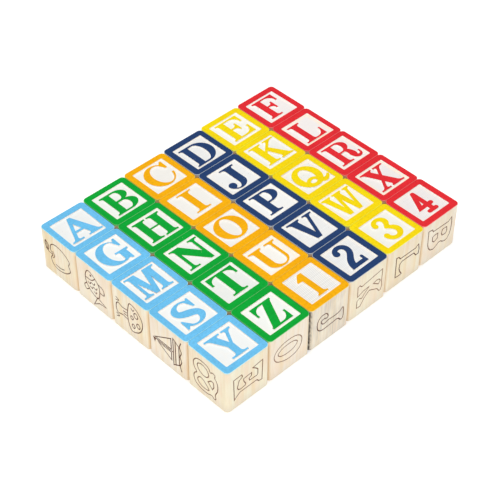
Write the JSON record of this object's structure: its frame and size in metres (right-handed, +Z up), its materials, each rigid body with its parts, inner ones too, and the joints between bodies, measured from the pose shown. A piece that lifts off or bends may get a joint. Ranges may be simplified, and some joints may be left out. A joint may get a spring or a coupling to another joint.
{
  "type": "alphabet block set",
  "caption": "Set of small wooden alphabet cubes standing in columns and rows, each with a raised, painted slab-serif letter or numeral inside a raised, painted frame.",
  "frame": {"origin": "middle of the set's footprint, on the surface that the blocks stand on", "axes": "+X along a row of blocks, +Y up the page of the marks, +Z up"},
  "size_m": [0.1822, 0.1532, 0.03],
  "materials": {
    "wood": "bare pale hardwood, sanded, with fine upright grain and laser-engraved ground and line motifs",
    "light_blue": "thin satin paint coat with the wood grain just showing",
    "green": "thin satin paint coat with the wood grain just showing",
    "orange": "thin satin paint coat with the wood grain just showing",
    "navy": "thin satin paint coat with the wood grain just showing",
    "yellow": "thin satin paint coat with the wood grain just showing",
    "red": "thin satin paint coat with the wood grain just showing"
  },
  "bodies": {
    "letter_a": {"block_a": "wood", "paint_a": "light_blue"},
    "letter_b": {"block_b": "wood", "paint_b": "green"},
    "letter_c": {"block_c": "wood", "paint_c": "orange"},
    "letter_d": {"block_d": "wood", "paint_d": "navy"},
    "letter_e": {"block_e": "wood", "paint_e": "yellow"},
    "letter_f": {"block_f": "wood", "paint_f": "red"},
    "letter_g": {"block_g": "wood", "paint_g": "light_blue"},
    "letter_h": {"block_h": "wood", "paint_h": "green"},
    "letter_i": {"block_i": "wood", "paint_i": "orange"},
    "letter_j": {"block_j": "wood", "paint_j": "navy"},
    "letter_k": {"block_k": "wood", "paint_k": "yellow"},
    "letter_l": {"block_l": "wood", "paint_l": "red"},
    "letter_m": {"block_m": "wood", "paint_m": "light_blue"},
    "letter_n": {"block_n": "wood", "paint_n": "green"},
    "letter_o": {"block_o": "wood", "paint_o": "orange"},
    "letter_p": {"block_p": "wood", "paint_p": "navy"},
    "letter_q": {"block_q": "wood", "paint_q": "yellow"},
    "letter_r": {"block_r": "wood", "paint_r": "red"},
    "letter_s": {"block_s": "wood", "paint_s": "light_blue"},
    "letter_t": {"block_t": "wood", "paint_t": "green"},
    "letter_u": {"block_u": "wood", "paint_u": "orange"},
    "letter_v": {"block_v": "wood", "paint_v": "navy"},
    "letter_w": {"block_w": "wood", "paint_w": "yellow"},
    "letter_x": {"block_x": "wood", "paint_x": "red"},
    "letter_y": {"block_y": "wood", "paint_y": "light_blue"},
    "letter_z": {"block_z": "wood", "paint_z": "green"},
    "number_1": {"block_1": "wood", "paint_1": "orange"},
    "number_2": {"block_2": "wood", "paint_2": "navy"},
    "number_3": {"block_3": "wood", "paint_3": "yellow"},
    "number_4": {"block_4": "wood", "paint_4": "red"}
  },
  "joints": [
    {"name": "lift_a", "type": "slide", "parent": "letter_o", "child": "letter_a", "axis": [0, 0, 1], "range_m": [0, 0.045]},
    {"name": "lift_b", "type": "slide", "parent": "letter_o", "child": "letter_b", "axis": [0, 0, 1], "range_m": [0, 0.045]},
    {"name": "lift_c", "type": "slide", "parent": "letter_o", "child": "letter_c", "axis": [0, 0, 1], "range_m": [0, 0.045]},
    {"name": "lift_d", "type": "slide", "parent": "letter_o", "child": "letter_d", "axis": [0, 0, 1], "range_m": [0, 0.045]},
    {"name": "lift_e", "type": "slide", "parent": "letter_o", "child": "letter_e", "axis": [0, 0, 1], "range_m": [0, 0.045]},
    {"name": "lift_f", "type": "slide", "parent": "letter_o", "child": "letter_f", "axis": [0, 0, 1], "range_m": [0, 0.045]},
    {"name": "lift_g", "type": "slide", "parent": "letter_o", "child": "letter_g", "axis": [0, 0, 1], "range_m": [0, 0.045]},
    {"name": "lift_h", "type": "slide", "parent": "letter_o", "child": "letter_h", "axis": [0, 0, 1], "range_m": [0, 0.045]},
    {"name": "lift_i", "type": "slide", "parent": "letter_o", "child": "letter_i", "axis": [0, 0, 1], "range_m": [0, 0.045]},
    {"name": "lift_j", "type": "slide", "parent": "letter_o", "child": "letter_j", "axis": [0, 0, 1], "range_m": [0, 0.045]},
    {"name": "lift_k", "type": "slide", "parent": "letter_o", "child": "letter_k", "axis": [0, 0, 1], "range_m": [0, 0.045]},
    {"name": "lift_l", "type": "slide", "parent": "letter_o", "child": "letter_l", "axis": [0, 0, 1], "range_m": [0, 0.045]},
    {"name": "lift_m", "type": "slide", "parent": "letter_o", "child": "letter_m", "axis": [0, 0, 1], "range_m": [0, 0.045]},
    {"name": "lift_n", "type": "slide", "parent": "letter_o", "child": "letter_n", "axis": [0, 0, 1], "range_m": [0, 0.045]},
    {"name": "lift_p", "type": "slide", "parent": "letter_o", "child": "letter_p", "axis": [0, 0, 1], "range_m": [0, 0.045]},
    {"name": "lift_q", "type": "slide", "parent": "letter_o", "child": "letter_q", "axis": [0, 0, 1], "range_m": [0, 0.045]},
    {"name": "lift_r", "type": "slide", "parent": "letter_o", "child": "letter_r", "axis": [0, 0, 1], "range_m": [0, 0.045]},
    {"name": "lift_s", "type": "slide", "parent": "letter_o", "child": "letter_s", "axis": [0, 0, 1], "range_m": [0, 0.045]},
    {"name": "lift_t", "type": "slide", "parent": "letter_o", "child": "letter_t", "axis": [0, 0, 1], "range_m": [0, 0.045]},
    {"name": "lift_u", "type": "slide", "parent": "letter_o", "child": "letter_u", "axis": [0, 0, 1], "range_m": [0, 0.045]},
    {"name": "lift_v", "type": "slide", "parent": "letter_o", "child": "letter_v", "axis": [0, 0, 1], "range_m": [0, 0.045]},
    {"name": "lift_w", "type": "slide", "parent": "letter_o", "child": "letter_w", "axis": [0, 0, 1], "range_m": [0, 0.045]},
    {"name": "lift_x", "type": "slide", "parent": "letter_o", "child": "letter_x", "axis": [0, 0, 1], "range_m": [0, 0.045]},
    {"name": "lift_y", "type": "slide", "parent": "letter_o", "child": "letter_y", "axis": [0, 0, 1], "range_m": [0, 0.045]},
    {"name": "lift_z", "type": "slide", "parent": "letter_o", "child": "letter_z", "axis": [0, 0, 1], "range_m": [0, 0.045]},
    {"name": "lift_1", "type": "slide", "parent": "letter_o", "child": "number_1", "axis": [0, 0, 1], "range_m": [0, 0.045]},
    {"name": "lift_2", "type": "slide", "parent": "letter_o", "child": "number_2", "axis": [0, 0, 1], "range_m": [0, 0.045]},
    {"name": "lift_3", "type": "slide", "parent": "letter_o", "child": "number_3", "axis": [0, 0, 1], "range_m": [0, 0.045]},
    {"name": "lift_4", "type": "slide", "parent": "letter_o", "child": "number_4", "axis": [0, 0, 1], "range_m": [0, 0.045]}
  ]
}
